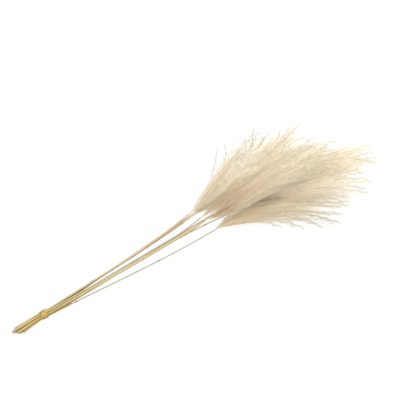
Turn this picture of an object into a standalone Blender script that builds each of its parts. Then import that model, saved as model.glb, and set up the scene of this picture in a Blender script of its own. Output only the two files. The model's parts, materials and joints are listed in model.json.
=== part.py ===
"""A bundle of dried miscanthus, tied near its cut ends and lying on a table.

It has eight stems. Each is a straw culm with a feathery plume at its far end, and a raffia tie holds the eight
together. A plume is a short rachis with about twenty long racemes, and each raceme is a thin stalk that swells
at its spikelets, left and right in turn.

The bundle is laid out with the middle of the tie over x = 0, y = 0, the table at z = 0 and +X towards the
plumes. At the end it is moved so that its origin is at the bottom centre of its box.
"""

import math
from dataclasses import dataclass

import bmesh
import bpy
import numpy as np
from mathutils.kdtree import KDTree

MM = 0.001
SEED = 7
GOLDEN_ANGLE = math.pi * (3 - math.sqrt(5))
UP = np.array([0.0, 0.0, 1.0])
SEAT_GAP = 0.3 * MM  # between two pieces that touch on the real thing
SHARP_ANGLE = math.radians(50)  # edges sharper than this stay sharp

# The culms in the tie: one in the middle and seven round it
CULM_RADIUS = 1.7 * MM
MIDDLE_RADIUS = 2.1 * MM
RING_CULMS = 7
CULM_SIDES = 8
BUTT_FLARE = 0.4 * MM  # at the cut end, where the sheaths stand off
BARE_RADIUS = 0.95 * MM  # above the last sheath
HEAD_RADIUS = 0.95 * MM  # where the culm meets its plume
SHEATH_LIP = 0.25 * MM
JOINT_SWELL = 0.35 * MM
JOINT_LENGTH = 2.5 * MM
JOINT_RINGS = (-3 * MM, 0.0, 3 * MM)  # where the rings of a joint are, from its middle
STATION = 60 * MM  # from ring to ring along a culm
TIED_STATIONS = (-20 * MM, -5 * MM, 5 * MM)  # extra rings where a culm bends in the tie
LEAST_STATION = 0.1 * MM  # rings closer than this become one
BEND = 12 * MM  # how softly a culm leaves the tie
BUTT_SPLAY = (0.52, 0.12)  # how far the cut ends spread, sideways and up, as a share of their place in the tie
BUTT_LEAN = 6 * MM  # how far the cut ends lie to the -Y side of the tie

# The raffia tie
TIE_TURNS = 4
TURN_WIDTH = 2.4 * MM
TURN_EDGE = 0.32 * MM  # from a turn's groove to its flat face
TIE_THICKNESS = 1.1 * MM
TIE_PLAY = 0.55 * MM  # between the tie and the culms in it
TURN_GROOVE = 0.4 * MM
TIE_SEGMENTS = 28
TIE_FLAT = 0.45 * MM  # how far the underside is pressed flat
KNOT_ANGLE = math.radians(35)  # from straight up, towards +Y
KNOT_SIZE = (3.6 * MM, 2.9 * MM, 1.9 * MM)  # half its length, breadth and height
KNOT_LIFT = 0.2 * MM  # of its middle above the turns
KNOT_LOBES = 5
KNOT_RIPPLE = 0.08
TAIL_LENGTH = 9 * MM
TAIL_WIDTH = 2.2 * MM
TAIL_THICKNESS = 0.8 * MM
TAIL_CURL = 3.5 * MM  # how far its end turns round the bundle
TAIL_LIFT = 0.6 * MM  # how far its end stands off
TAIL_RINGS = 5

# The plumes
RACHIS_LENGTH = 52 * MM
RACHIS_RADIUS = (1.15 * MM, 0.8 * MM)  # at its foot and at its top
RACHIS_SIDES = 6
RACHIS_RINGS = 5
RACHIS_TURN = 0.25  # how much of the way it turns from the culm's direction to the plume's
ROOT_PLACES = (0.1, 0.94)  # the lowest and the topmost raceme's place along the rachis
RACEME_RINGS = 12
RACEME_RADIUS = (0.65 * MM, 1.45 * MM, 0.5 * MM)  # of the stalk, of a spikelet swelling and at the tip
SPIKELET_OFFSET = 0.6 * MM
ROOT_ANGLE = math.radians(20)
OUTWARD_ANGLE = math.radians(34)  # how far a raceme's tip turns out from the plume's heading
TIP_DROOP = 0.35
FAN_TAPER = 0.93  # how much closer to the plume's middle the topmost raceme's tip is
REACH_RANGE = 0.09  # how much a raceme's length differs, as a share of it
REACH_FALL = 0.4  # how much shorter the outer racemes are, and how much longer the inner ones
REACH_MIDDLE = 0.45
UPWARD_SHARE = 0.6  # a raceme leans and sways less up and down than sideways
WAVE = 2.2 * MM
WAVES = (1.2, 2.2)  # the fewest and the most along a raceme

# How the racemes settle against each other
CLEARANCE = 5.8 * MM  # between two racemes' middles
SETTLE_STEPS = 70
LAST_STEPS = 10  # in which no bend is smoothed out
SETTLE_RATE = 1.3
SETTLE_EASE = 0.12
RUN_STEPS = 4  # along each straight run
LEAST_DISTANCE = 0.01 * MM
KEPT_OFF_FROM = 230 * MM  # the x from which the racemes keep off the culms
KEPT_OFF_STEP = 4 * MM
HELD_SHARE = 0.03  # of a raceme, next to the rachis, which doesn't move
ROOT_SHARE = 0.2  # of a raceme, which may cross the others of its plume
FLOOR_HEIGHT = 0.9 * MM  # of a raceme's middle that lies on the table


@dataclass
class Stem:
    """One stem: lengths in millimetres, angles in degrees."""

    slot: float  # where it stands in the tie, from +Y over the top; None is the middle
    butt: float  # from the tie to its cut end
    head: tuple  # the foot of its plume
    heading: float  # of the culm at its head, from +X towards +Y
    rise: float  # of the culm at its head
    sheath_end: float
    sheath_radius: float
    joints: tuple
    racemes: int
    tip: tuple  # the middle of its racemes' tips
    fan: tuple  # half the spread of the tips, sideways and up


STEMS = [
    Stem(39, 50, (291, 39, 32), 12, 8, 281, 1.65, (96, 205), 20, (452, 90, 44), (42, 22)),
    Stem(347, 54, (295, 38, 22), 8, 5, 285, 1.70, (60, 180), 19, (488, 92, 26), (46, 22)),
    Stem(296, 60, (364, 56, 14), 8, 3, 300, 1.45, (120, 262), 19, (568, 38, 16), (34, 22)),
    Stem(90, 61, (309, 28, 23), 10, 8, 170, 1.35, (118, 236), 20, (511, 66, 48), (45, 20)),
    Stem(141, 55, (311, 15, 32), 3, 9, 300, 2.00, (84, 190), 20, (534, 22, 50), (44, 22)),
    Stem(244, 51, (372, 15, 17), -5, 3, 150, 1.25, (150, 314), 19, (568, -28, 24), (48, 24)),
    Stem(193, 45, (320, 1, 14), 4, 3, 50, 1.40, (58, 214), 19, (512, -52, 11), (44, 18)),
    Stem(None, 57, (386, 33, 14), 3, 4, 340, 1.50, (70, 226), 20, (606, 1, 24), (36, 24)),
]


def unit(vector):
    return vector / np.linalg.norm(vector)


def ring_radius():
    """From the middle of the tie to the middle of each culm in the ring."""
    return (2 * CULM_RADIUS + SEAT_GAP) / (2 * math.sin(math.pi / RING_CULMS))


def tie_radii():
    inner = ring_radius() + CULM_RADIUS + TIE_PLAY
    return inner, inner + TIE_THICKNESS


def tie_height():
    """The tie's middle above the table, with its underside pressed flat at z = 0."""
    return tie_radii()[1] - TIE_FLAT


def slot_place(stem):
    """Where a stem's middle is in the tie: y and z."""
    if stem.slot is None:
        return 0.0, tie_height()
    angle = math.radians(stem.slot)
    return ring_radius() * math.cos(angle), tie_height() + ring_radius() * math.sin(angle)


def tied_radius(stem):
    """A culm's radius in the tie. The middle one is thick enough to touch those round it."""
    return MIDDLE_RADIUS if stem.slot is None else CULM_RADIUS


def head_direction(stem):
    heading, rise = math.radians(stem.heading), math.radians(stem.rise)
    return unit(np.array([math.cos(heading), math.sin(heading), math.tan(rise)]))


def culm_point(stem, x):
    """The middle of a culm at x: straight runs on both sides of the tie, with a soft bend between them."""
    start_y, start_z = slot_place(stem)
    ramp = math.hypot(x, BEND) - BEND
    if x < 0:
        run = math.hypot(stem.butt * MM, BEND) - BEND
        y = start_y * (1 + BUTT_SPLAY[0] * ramp / run) - BUTT_LEAN * ramp / run
        return np.array([x, y, start_z + (start_z - tie_height()) * BUTT_SPLAY[1] * ramp / run])
    head = np.array(stem.head) * MM
    aim = head_direction(stem)
    share = x / head[0]
    ease = ramp / (math.hypot(head[0], BEND) - BEND)
    point = [x]
    for start, end, slope in ((start_y, head[1], aim[1] / aim[0]), (start_z, head[2], aim[2] / aim[0])):
        bow = (end - start) - slope * head[0]
        point.append(start + (end - start) * ease + bow * share**2 * (1 - share))
    return np.array(point)


def culm_radius(stem, x):
    """A culm's radius at x: thick in its sheaths, thin above them and swollen at its joints."""
    head, sheath_end = stem.head[0] * MM, stem.sheath_end * MM
    sheathed, tied = stem.sheath_radius * MM, tied_radius(stem)
    if x < 0:
        radius = tied + BUTT_FLARE * -x / (stem.butt * MM)
    elif x <= sheath_end:
        radius = tied + (sheathed - tied) * x / sheath_end
    else:
        radius = BARE_RADIUS + (HEAD_RADIUS - BARE_RADIUS) * (x - sheath_end) / (head - sheath_end)
    swell = sum(math.exp(-(((x - joint * MM) / JOINT_LENGTH) ** 2)) for joint in stem.joints)
    return radius + JOINT_SWELL * swell


def culm_stations(stem):
    """The x of each ring: even steps, three rings at each joint and a step at the sheath's lip."""
    head = stem.head[0] * MM
    places = [-stem.butt * MM, *TIED_STATIONS]
    steps = max(2, round(head / STATION))
    places += [head * i / steps for i in range(1, steps + 1)]
    places += [stem.sheath_end * MM, stem.sheath_end * MM + SHEATH_LIP]
    for joint in stem.joints:
        places += [joint * MM + offset for offset in JOINT_RINGS]
    places = sorted(places)
    kept = [places[0]]
    for place in places[1:]:
        if place - kept[-1] > LEAST_STATION:
            kept.append(place)
    return kept


def frames_along(points):
    """Two directions across a path at each of its points, carried along it with no twist."""
    tangents = np.gradient(points, axis=0)
    tangents /= np.linalg.norm(tangents, axis=1)[:, None]
    side = unit(np.cross(UP, tangents[0]))
    sides, tops = [], []
    for tangent in tangents:
        side = unit(side - tangent * np.dot(side, tangent))
        sides.append(side)
        tops.append(np.cross(tangent, side))
    return np.array(sides), np.array(tops)


def tube(name, points, radii, sides_count, phase=0.0):
    """A closed tube along a path, with a flat cap at each end, in triangles."""
    sides, tops = frames_along(points)
    mesh = bmesh.new()
    rings = []
    for point, radius, side, top in zip(points, radii, sides, tops):
        angles = [phase + 2 * math.pi * k / sides_count for k in range(sides_count)]
        ring = [point + radius * (math.cos(a) * side + math.sin(a) * top) for a in angles]
        rings.append([mesh.verts.new(corner) for corner in ring])
    for lower, upper in zip(rings, rings[1:]):
        for k in range(sides_count):
            after = (k + 1) % sides_count
            mesh.faces.new((lower[k], lower[after], upper[after], upper[k]))
    mesh.faces.new(rings[0][::-1])
    mesh.faces.new(rings[-1])
    bmesh.ops.triangulate(mesh, faces=mesh.faces[:])
    return add_object(name, mesh)


def add_object(name, mesh):
    data = bpy.data.meshes.new(name)
    mesh.to_mesh(data)
    mesh.free()
    thing = bpy.data.objects.new(name, data)
    bpy.context.scene.collection.objects.link(thing)
    return thing


def material(name, colour, roughness):
    made = bpy.data.materials.new(name)
    made.use_nodes = True
    shader = made.node_tree.nodes["Principled BSDF"]
    shader.inputs["Base Color"].default_value = (*colour, 1)
    shader.inputs["Roughness"].default_value = roughness
    shader.inputs["Metallic"].default_value = 0
    return made


def shade_round(thing, surface):
    thing.data.materials.clear()
    thing.data.materials.append(surface)
    thing.data.shade_smooth()
    thing.data.set_sharp_from_angle(angle=SHARP_ANGLE)


def fuse(name, core, repeats):
    """One closed body from a core and its repeats."""
    group = bpy.data.collections.new(name + "_repeats")
    bpy.context.scene.collection.children.link(group)
    for piece in repeats:
        bpy.context.scene.collection.objects.unlink(piece)
        group.objects.link(piece)
    union = core.modifiers.new("union", "BOOLEAN")
    union.operation = "UNION"
    union.operand_type = "COLLECTION"
    union.collection = group
    union.solver = "EXACT"
    bpy.context.view_layer.update()
    evaluated = core.evaluated_get(bpy.context.evaluated_depsgraph_get())
    joined = bpy.data.meshes.new_from_object(evaluated)
    for piece in repeats + [core]:
        bpy.data.objects.remove(piece)
    bpy.data.collections.remove(group)
    whole = bpy.data.objects.new(name, joined)
    bpy.context.scene.collection.objects.link(whole)
    return whole


def make_culm(number, stem, surface):
    places = culm_stations(stem)
    points = np.array([culm_point(stem, x) for x in places])
    radii = [culm_radius(stem, x) for x in places]
    shade_round(tube(f"culm_{number}", points, radii, CULM_SIDES), surface)


def rachis_point(stem, share):
    """The middle of a plume's rachis, at a share of its length from just above the culm's top."""
    aim = head_direction(stem)
    start = np.array(stem.head) * MM + aim * SEAT_GAP
    level = unit(np.array(stem.tip) * MM - start)
    return start + RACHIS_LENGTH * share * (aim + RACHIS_TURN * share * (level - aim))


def raceme_path(stem, number, random):
    """One raceme's middle: out of the rachis at a sharp angle, along the plume, and turned out at its tip."""
    share = (number + 0.5) / stem.racemes
    around = number * GOLDEN_ANGLE + stem.head[0]
    lowest, topmost = ROOT_PLACES
    root = rachis_point(stem, lowest + (topmost - lowest) * share)
    aim = head_direction(stem)
    centre = np.array(stem.tip) * MM
    level = unit(centre - root)
    side = unit(np.cross(UP, level))
    top = np.cross(level, side)
    spread = math.sqrt(1 - FAN_TAPER * share)
    across, along_up = math.cos(around), math.sin(around)
    outward = unit(across * side + UPWARD_SHARE * along_up * top)
    tip = centre + side * across * spread * stem.fan[0] * MM + top * along_up * spread * stem.fan[1] * MM
    reach = 1 + random.uniform(-REACH_RANGE, REACH_RANGE) + REACH_FALL * (REACH_MIDDLE - spread**2)
    tip = root + (tip - root) * reach
    length = np.linalg.norm(tip - root)
    leave = aim * math.cos(ROOT_ANGLE) + outward * math.sin(ROOT_ANGLE)
    turn = OUTWARD_ANGLE * spread
    arrive = unit(level * math.cos(turn) + outward * math.sin(turn) - UP * TIP_DROOP)
    s = np.linspace(0, 1, RACEME_RINGS)[:, None]
    path = (
        (2 * s**3 - 3 * s**2 + 1) * root
        + (s**3 - 2 * s**2 + s) * leave * length
        + (3 * s**2 - 2 * s**3) * tip
        + (s**3 - s**2) * arrive * length
    )
    phase, waves = random.uniform(0, 2 * math.pi), random.uniform(*WAVES)
    sway = WAVE * s * np.sin(phase + 2 * math.pi * waves * s)
    heave = UPWARD_SHARE * WAVE * s * np.cos(phase + 2 * math.pi * waves * s)
    return path + sway * side + heave * top


def all_racemes():
    """Each raceme's path, and the number of the plume that it belongs to."""
    random = np.random.default_rng(SEED)
    paths, plumes = [], []
    for number, stem in enumerate(STEMS):
        for k in range(stem.racemes):
            paths.append(raceme_path(stem, k, random))
            plumes.append(number)
    return np.array(paths), np.array(plumes)


def fixed_points():
    """Points along the culms and rachises, which the racemes of other plumes keep off, and each one's plume."""
    points, owners = [], []
    for number, stem in enumerate(STEMS):
        points += [culm_point(stem, x) for x in np.arange(KEPT_OFF_FROM, stem.head[0] * MM, KEPT_OFF_STEP)]
        points += [rachis_point(stem, s) for s in np.arange(0, 1, KEPT_OFF_STEP / RACHIS_LENGTH)]
        owners += [number] * (len(points) - len(owners))
    return np.array(points), np.array(owners)


def near_pairs(points, reach):
    """The numbers of each two points that are less than reach apart, both ways round."""
    tree = KDTree(len(points))
    for index, point in enumerate(points):
        tree.insert(point, index)
    tree.balance()
    pairs = [(index, other) for index, point in enumerate(points) for _, other, _ in tree.find_range(point, reach)]
    return np.array(pairs).T


def settle(paths, plumes):
    """Moves the racemes apart until each lies clear of the others, with none of them under the table.

    A path's points are joined by straight runs, so the distances are measured at even steps along these.
    """
    count, rings, _ = paths.shape
    samples = (rings - 1) * RUN_STEPS + 1
    fixed, fixed_plumes = fixed_points()
    places, ring_places = np.linspace(0, 1, samples), np.linspace(0, 1, rings)
    blend = np.array([np.interp(places, ring_places, row) for row in np.eye(rings)]).T
    at = np.concatenate([np.tile(places, count), np.zeros(len(fixed))])
    free = np.clip((at - HELD_SHARE) / (ROOT_SHARE - HELD_SHARE), 0, 1)
    raceme = np.concatenate([np.repeat(np.arange(count), samples), -1 - fixed_plumes])
    plume = np.concatenate([np.repeat(plumes, samples), fixed_plumes])
    ring_free = np.clip((ring_places - HELD_SHARE) / (ROOT_SHARE - HELD_SHARE), 0, 1)[None, :, None]
    shift = np.zeros_like(paths)
    for step in range(SETTLE_STEPS):
        points = np.concatenate([(blend @ (paths + shift)).reshape(-1, 3), fixed])
        here, there = near_pairs(points, CLEARANCE)
        at_root = (plume[here] == plume[there]) & (np.minimum(at[here], at[there]) < ROOT_SHARE)
        apart = (raceme[here] != raceme[there]) & ~at_root & (free[here] > 0)
        here, there = here[apart], there[apart]
        away = points[here] - points[there]
        distance = np.linalg.norm(away, axis=1)[:, None]
        give = (free[here] / (free[here] + free[there]))[:, None]
        push = np.zeros_like(points)
        np.add.at(push, here, give * (CLEARANCE - distance) * away / np.maximum(distance, LEAST_DISTANCE))
        push = push[: count * samples].reshape(count, samples, 3)
        shift += SETTLE_RATE * ring_free * (blend.T @ push) / blend.sum(axis=0)[None, :, None]
        if step < SETTLE_STEPS - LAST_STEPS:
            smooth = 0.5 * shift[:, 1:-1] + 0.25 * (shift[:, :-2] + shift[:, 2:])
            shift[:, 1:-1] += SETTLE_EASE * (smooth - shift[:, 1:-1])
        shift[:, :, 2] = np.maximum(shift[:, :, 2], FLOOR_HEIGHT - paths[:, :, 2])
    return paths + shift


def make_raceme(name, path, number):
    """A three-sided stalk along a path, swollen at its spikelets, which stand off to each side in turn."""
    points = path.copy()
    sides, _ = frames_along(points)
    stalk, spikelet, tip = RACEME_RADIUS
    radii = [stalk]
    for ring in range(1, RACEME_RINGS - 1):
        swollen = ring % 2 == 0
        radii.append(spikelet if swollen else stalk)
        if swollen:
            points[ring] += sides[ring] * SPIKELET_OFFSET * (1 if ring % 4 == 0 else -1)
    radii.append(tip)
    points[:, 2] = np.maximum(points[:, 2], np.array(radii))
    return tube(name, points, radii, 3, phase=number * GOLDEN_ANGLE)


def make_plume(number, stem, paths, surface):
    name = f"plume_{number}"
    points = np.array([rachis_point(stem, share) for share in np.linspace(0, 1, RACHIS_RINGS)])
    core = tube(name + "_core", points, np.linspace(*RACHIS_RADIUS, RACHIS_RINGS), RACHIS_SIDES)
    repeats = [make_raceme(f"{name}_raceme_{k}", path, k) for k, path in enumerate(paths)]
    shade_round(fuse(name, core, repeats), surface)


def make_tie(surface):
    """Flat turns of raffia round the culms, pressed flat below, with a knot and two short tails."""
    inner, outer = tie_radii()
    width = TIE_TURNS * TURN_WIDTH
    profile = [(-width / 2, inner)]
    for turn in range(TIE_TURNS):
        start = -width / 2 + turn * TURN_WIDTH
        profile.append((start, outer - TURN_GROOVE))
        profile.append((start + TURN_EDGE, outer))
        profile.append((start + TURN_WIDTH - TURN_EDGE, outer))
    profile.append((width / 2, outer - TURN_GROOVE))
    profile.append((width / 2, inner))
    mesh = bmesh.new()
    rings = []
    for segment in range(TIE_SEGMENTS):
        angle = 2 * math.pi * (segment + 0.5) / TIE_SEGMENTS
        ring = []
        for x, radius in profile:
            z = max(0.0, tie_height() + radius * math.sin(angle))
            ring.append(mesh.verts.new((x, radius * math.cos(angle), z)))
        rings.append(ring)
    for segment in range(TIE_SEGMENTS):
        here, there = rings[segment], rings[(segment + 1) % TIE_SEGMENTS]
        for k in range(len(profile)):
            after = (k + 1) % len(profile)
            mesh.faces.new((here[k], here[after], there[after], there[k]))
    bmesh.ops.recalc_face_normals(mesh, faces=mesh.faces[:])
    ring_body = add_object("tie_ring", mesh)
    shade_round(fuse("tie", ring_body, [make_knot(outer), *make_tails(outer)]), surface)


def knot_place(outer):
    """The knot's middle and the direction out of the tie there."""
    out = np.array([0.0, math.sin(KNOT_ANGLE), math.cos(KNOT_ANGLE)])
    return np.array([0.0, 0.0, tie_height()]) + out * (outer + KNOT_LIFT), out


def make_knot(outer):
    middle, out = knot_place(outer)
    mesh = bmesh.new()
    bmesh.ops.create_icosphere(mesh, subdivisions=2, radius=1)
    around = unit(np.cross(out, [1.0, 0.0, 0.0]))
    length, breadth, height = KNOT_SIZE
    for corner in mesh.verts:
        x, y, z = corner.co
        ripple = 1 + KNOT_RIPPLE * math.sin(KNOT_LOBES * math.atan2(y, x))
        level = np.array([x * length, 0.0, 0.0]) + y * breadth * around
        corner.co = middle + ripple * level + z * height * out
    bmesh.ops.recalc_face_normals(mesh, faces=mesh.faces[:])
    return add_object("knot", mesh)


def make_tails(outer):
    """Two flat ends of raffia that leave the knot and curl down along the culms."""
    middle, out = knot_place(outer)
    around = unit(np.cross(out, [1.0, 0.0, 0.0]))
    tails = []
    for side in (-1, 1):
        path = []
        for s in np.linspace(0, 1, TAIL_RINGS):
            along = np.array([side * TAIL_LENGTH * s, 0.0, 0.0])
            path.append(middle + along + side * TAIL_CURL * s**2 * around + TAIL_LIFT * s * out)
        tail = tube(f"tail_{side}", np.array(path), [TAIL_WIDTH / 2] * TAIL_RINGS, 4, phase=math.pi / 4)
        flatten(tail, np.array(path), TAIL_THICKNESS / TAIL_WIDTH, out)
        tails.append(tail)
    return tails


def flatten(thing, path, ratio, direction):
    """Squeezes a tube towards its path along one direction."""
    for corner in thing.data.vertices:
        place = np.array(corner.co)
        nearest = path[np.argmin(np.linalg.norm(path - place, axis=1))]
        height = np.dot(place - nearest, direction)
        corner.co = place - direction * height * (1 - ratio)


def centre_bundle():
    """Moves everything so that the origin is at the bottom centre of the bundle's box."""
    pieces = [thing for thing in bpy.context.scene.objects if thing.type == "MESH"]
    corners = np.array([corner.co for thing in pieces for corner in thing.data.vertices])
    low, high = corners.min(axis=0), corners.max(axis=0)
    bundle = bpy.data.objects.new("bundle", None)
    bpy.context.scene.collection.objects.link(bundle)
    bundle.location = (-(low[0] + high[0]) / 2, -(low[1] + high[1]) / 2, -low[2])
    for thing in pieces:
        thing.parent = bundle


def main():
    for thing in list(bpy.data.objects):
        bpy.data.objects.remove(thing)
    straw = material("straw", (0.66, 0.50, 0.25), 0.45)
    silk = material("silk", (0.80, 0.70, 0.54), 0.75)
    raffia = material("raffia", (0.70, 0.48, 0.18), 0.5)
    paths, plumes = all_racemes()
    paths = settle(paths, plumes)
    for number, stem in enumerate(STEMS):
        make_culm(number + 1, stem, straw)
        make_plume(number + 1, stem, paths[plumes == number], silk)
    make_tie(raffia)
    centre_bundle()


main()
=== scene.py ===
"""The looks of a tied bundle of dried miscanthus that lies on a pale floor.

Each culm gets its sheaths, joints and cut end, the tie gets its strands of raffia, and each plume gets its
thin stalks with paired husks, awns and long silky hairs. The racemes follow the same settled paths as the
solids do. The shapes are worked out with the middle of the tie over x = 0, y = 0, and then moved to where the
packed tie is.
"""

import json
import math
from dataclasses import dataclass

import bpy
import numpy as np
from mathutils import Matrix, Vector
from mathutils.kdtree import KDTree


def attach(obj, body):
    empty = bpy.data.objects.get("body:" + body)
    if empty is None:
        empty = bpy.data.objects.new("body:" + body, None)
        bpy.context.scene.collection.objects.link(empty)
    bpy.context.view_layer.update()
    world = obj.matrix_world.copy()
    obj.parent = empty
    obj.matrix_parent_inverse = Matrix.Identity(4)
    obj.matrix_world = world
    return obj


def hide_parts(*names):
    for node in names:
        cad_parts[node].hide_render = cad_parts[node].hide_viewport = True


MM = 0.001
SEED = 7
LOOK_SEED = 21
GOLDEN_ANGLE = math.pi * (3 - math.sqrt(5))
UP = np.array([0.0, 0.0, 1.0])
AHEAD = np.array([1.0, 0.0, 0.0])
SEAT_GAP = 0.3 * MM

# The culms in the tie
CULM_RADIUS = 1.7 * MM
MIDDLE_RADIUS = 2.1 * MM
RING_CULMS = 7
BUTT_FLARE = 0.4 * MM
BARE_RADIUS = 0.95 * MM
JOINT_SWELL = 0.35 * MM
JOINT_LENGTH = 2.5 * MM
BEND = 12 * MM
BUTT_SPLAY = (0.52, 0.12)
BUTT_LEAN = 6 * MM

# The tie
TIE_TURNS = 4
TURN_WIDTH = 2.4 * MM
TIE_THICKNESS = 1.1 * MM
TIE_PLAY = 0.55 * MM
TIE_FLAT = 0.45 * MM
KNOT_ANGLE = math.radians(35)
KNOT_LIFT = 0.2 * MM
KNOT_SIZE = (3.6 * MM, 2.9 * MM, 1.9 * MM)
TAIL_LENGTH = 9 * MM
TAIL_CURL = 3.5 * MM
TAIL_LIFT = 0.6 * MM

# The plumes' racemes, as in the solids
RACHIS_LENGTH = 52 * MM
RACHIS_RADIUS = (1.15 * MM, 0.8 * MM)
RACHIS_TURN = 0.25
ROOT_PLACES = (0.1, 0.94)
RACEME_RINGS = 12
ROOT_ANGLE = math.radians(20)
OUTWARD_ANGLE = math.radians(34)
TIP_DROOP = 0.35
FAN_TAPER = 0.93
REACH_RANGE = 0.09
REACH_FALL = 0.4
REACH_MIDDLE = 0.45
UPWARD_SHARE = 0.6
WAVE = 2.2 * MM
WAVES = (1.2, 2.2)

# How the racemes settle against each other, as in the solids
CLEARANCE = 5.8 * MM
SETTLE_STEPS = 70
LAST_STEPS = 10
SETTLE_RATE = 1.3
SETTLE_EASE = 0.12
RUN_STEPS = 4
LEAST_DISTANCE = 0.01 * MM
KEPT_OFF_FROM = 230 * MM
KEPT_OFF_STEP = 4 * MM
HELD_SHARE = 0.03
ROOT_SHARE = 0.2
FLOOR_HEIGHT = 0.9 * MM

# The fine culms
FINE_SIDES = 24
FINE_STEP = 3 * MM
CLOSE_STEP = 0.7 * MM
CLOSE_REACH = 5 * MM
WRAP_STEP = 0.16 * MM  # how far a sheath's free edge stands off
WRAP_TWIST = 1.3  # turns of that edge along each metre
LIP_SLANT = 4 * MM
LIP_LENGTH = 1.2 * MM
CUT_RIM = 0.84  # where the pith begins, as a share of the cut end's radius
CUT_DEPTH = 0.5 * MM
# The rings of the cut end: a share of its radius, and how deep they lie
CUT_RINGS = [(0.0, CUT_DEPTH), (0.4, CUT_DEPTH), (CUT_RIM - 0.04, CUT_DEPTH), (CUT_RIM, 0.0), (0.97, 0.0)]
CUT_PLACES = [0.0, 0.006, 0.012, 0.016, 0.02]  # where they are along the paint map
WALL_PLACES = (0.024, 0.99)  # and the first and last ring of the culm's wall
TOP_CLOSE = 0.05  # how wide the ring is that closes the culm's top

# The fine tie
TURN_STRANDS = 5
TURN_POINTS = 96
TURN_FILL = 0.86  # how much of a turn's width its strands are spread over
STRAND_SIDES = 6
STRAND_RADIUS = 0.36 * MM
STRAND_FLATNESS = 0.8
STRAND_SINK = 0.42 * MM  # how far its middle lies inside the tie's outer radius
STRAND_BOW = 0.25 * MM  # and how much further in at the edge of a turn
STRAND_WOBBLE = 0.12 * MM
BAND_INSET = 0.9 * MM  # how far the band under the strands keeps from the tie's ends,
BAND_CLEAR = 0.1 * MM  # its inside
BAND_SINK = 0.7 * MM  # and its outside
KNOT_LOOPS = 12
KNOT_POINTS = 14
KNOT_RADIUS = 0.42 * MM
KNOT_SINK = 0.5 * MM
LOOP_TURN = 0.15  # how far a loop is turned from its even place, in radians
LOOP_REACH = 0.92
LOOP_ARCH = (0.62, 0.12, 2.4)  # its height, how much that changes, and in what steps
LOOP_SWAY = (0.22, 1.7)  # how far it bows to its side, and in what steps
LOOP_END = 1.04  # where its arch would meet the tie
TAIL_STRANDS = 5
TAIL_POINTS = 16
TAIL_RADIUS = 0.27 * MM
TAIL_SPREAD = 1.9 * MM
TAIL_FRAY = 0.2 * MM
# The parts of the raffia's paint map
TURNS_PAINT = (0.0, 0.7)
BAND_PAINT = (0.7, 0.75)
KNOT_PAINT = (0.76, 0.88)
TAIL_PAINT = (0.88, 0.99)

# The fine plumes
BETWEEN_RACEMES = 14  # more racemes in each plume, half-way between two of the solids' ones
BETWEEN_STEPS = (3, 5, 8)  # how far apart the two are in number
BETWEEN_MIX = (0.35, 0.65)
BETWEEN_REACH = (0.88, 1.04)  # how long they are, as a share of their neighbours
BESIDE_RACEMES = 16  # and ones that splay out beside one of them
BESIDE_REACH = (0.84, 1.0)
BESIDE_SPREAD = (4 * MM, 4 * MM, 1.5 * MM)
LINE_POINTS = 90
STALK_POINTS = 44
CRINKLE = (0.1 * MM, 0.9 * MM)  # how far a raceme winds to and fro, at its foot and at its tip
CRINKLE_STEP = (13 * MM, 22 * MM)  # how long one bend to and fro is
RACHIS_POINTS = 12
RACHIS_SIDES = 10
STALK_SIDES = 3
STALK_RADIUS = (0.34 * MM, 0.16 * MM)
NODE_STEP = 3.6 * MM  # from one pair of husks to the next
NODE_TURN = 1.9  # how far round the next pair stands, in radians
NODE_SWERVE = 0.4
FIRST_HUSK = 0.012
LAST_HUSK = 0.995
HUSK_SHIFT = 0.004
FIRST_SEEN = 0.14  # husks below this share of a raceme are left out
HUSK_STALK = (0.5 * MM, 1.4 * MM)  # each pair has a short and a long stalk
HUSK_LENGTH = (3.6 * MM, 5.2 * MM)
HUSK_SHORTER = (0.5, 0.55)  # their share of it at the raceme's foot and at its tip
HUSK_WIDEST = 0.4
HUSK_RADIUS = (0.25 * MM, 0.6 * MM)  # at the raceme's foot and at its tip
HUSK_FLATNESS = 0.7
HUSK_ANGLE = (12, 30)
# A husk's corners are its foot, four round its middle, and its tip
HUSK_EDGES = ((1, 2), (2, 3), (3, 4), (4, 1))
HUSK_FACES = np.array([[0, b, a] for a, b in HUSK_EDGES] + [[5, a, b] for a, b in HUSK_EDGES])
HUSK_SPOTS = np.array([[0, 0], [0.012, -0.008], [0.012, 0.003], [0.012, 0.008], [0.012, -0.003], [0.024, 0]])
HUSK_PAINT = 0.97  # how far along the paint map the last of them starts
HAIRS = 17  # on each husk
LEAST_HAIRS = 4
BODY_RANGE = (0.75, 1.15)  # how much thicker or thinner a raceme's hairs are
LEAST_TIP = 0.05  # the least share of them at its tip
HAIR_LENGTH = (6 * MM, 13 * MM)
FOOT_LENGTH = 0.55  # how much of that length the hairs have at the raceme's foot
TIP_LENGTH = 0.8  # and at its tip
SHORTER_FROM = 0.9
HAIR_WIDTH = 0.125 * MM
HAIR_ANGLE = (42, 22)
HAIR_LIMITS = (3, 100)
HAIR_AROUND = 1.1  # how far to the side of its husk a hair stands, in radians
HAIR_PAINT = 0.06  # how far along the paint map a hair reaches
ROOT_LEAN = 0.35  # how much of that angle the hairs have at the raceme's foot
LEAN_REACH = 0.3  # from here on they have all of it
TIP_LEAN = 1.5  # and at its tip they have this much of it
BARE_FROM = 0.45  # from here on the hairs thin out towards the tip
AWN_LENGTH = (5 * MM, 9 * MM)
AWN_WIDTH = 0.12 * MM
AWN_ANGLE = (8, 40)
AWN_START = 3 * MM  # how far up its husk an awn starts
AWN_PAINT = 0.02
BLADE_PAINT = 0.005  # half a hair's or an awn's width on the paint map

# The view
FRAME_MM = 672  # the picture's width at the middle of the bundle
VIEW_MIDDLE = (329.0, 63.3, 15.0)
VIEW_RIGHT = (0.876, -0.482, 0.0)
VIEW_RISE = math.radians(60)
VIEW_DISTANCE = 6.0
SENSOR = 36.0
CLIP_END = 100.0

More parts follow.
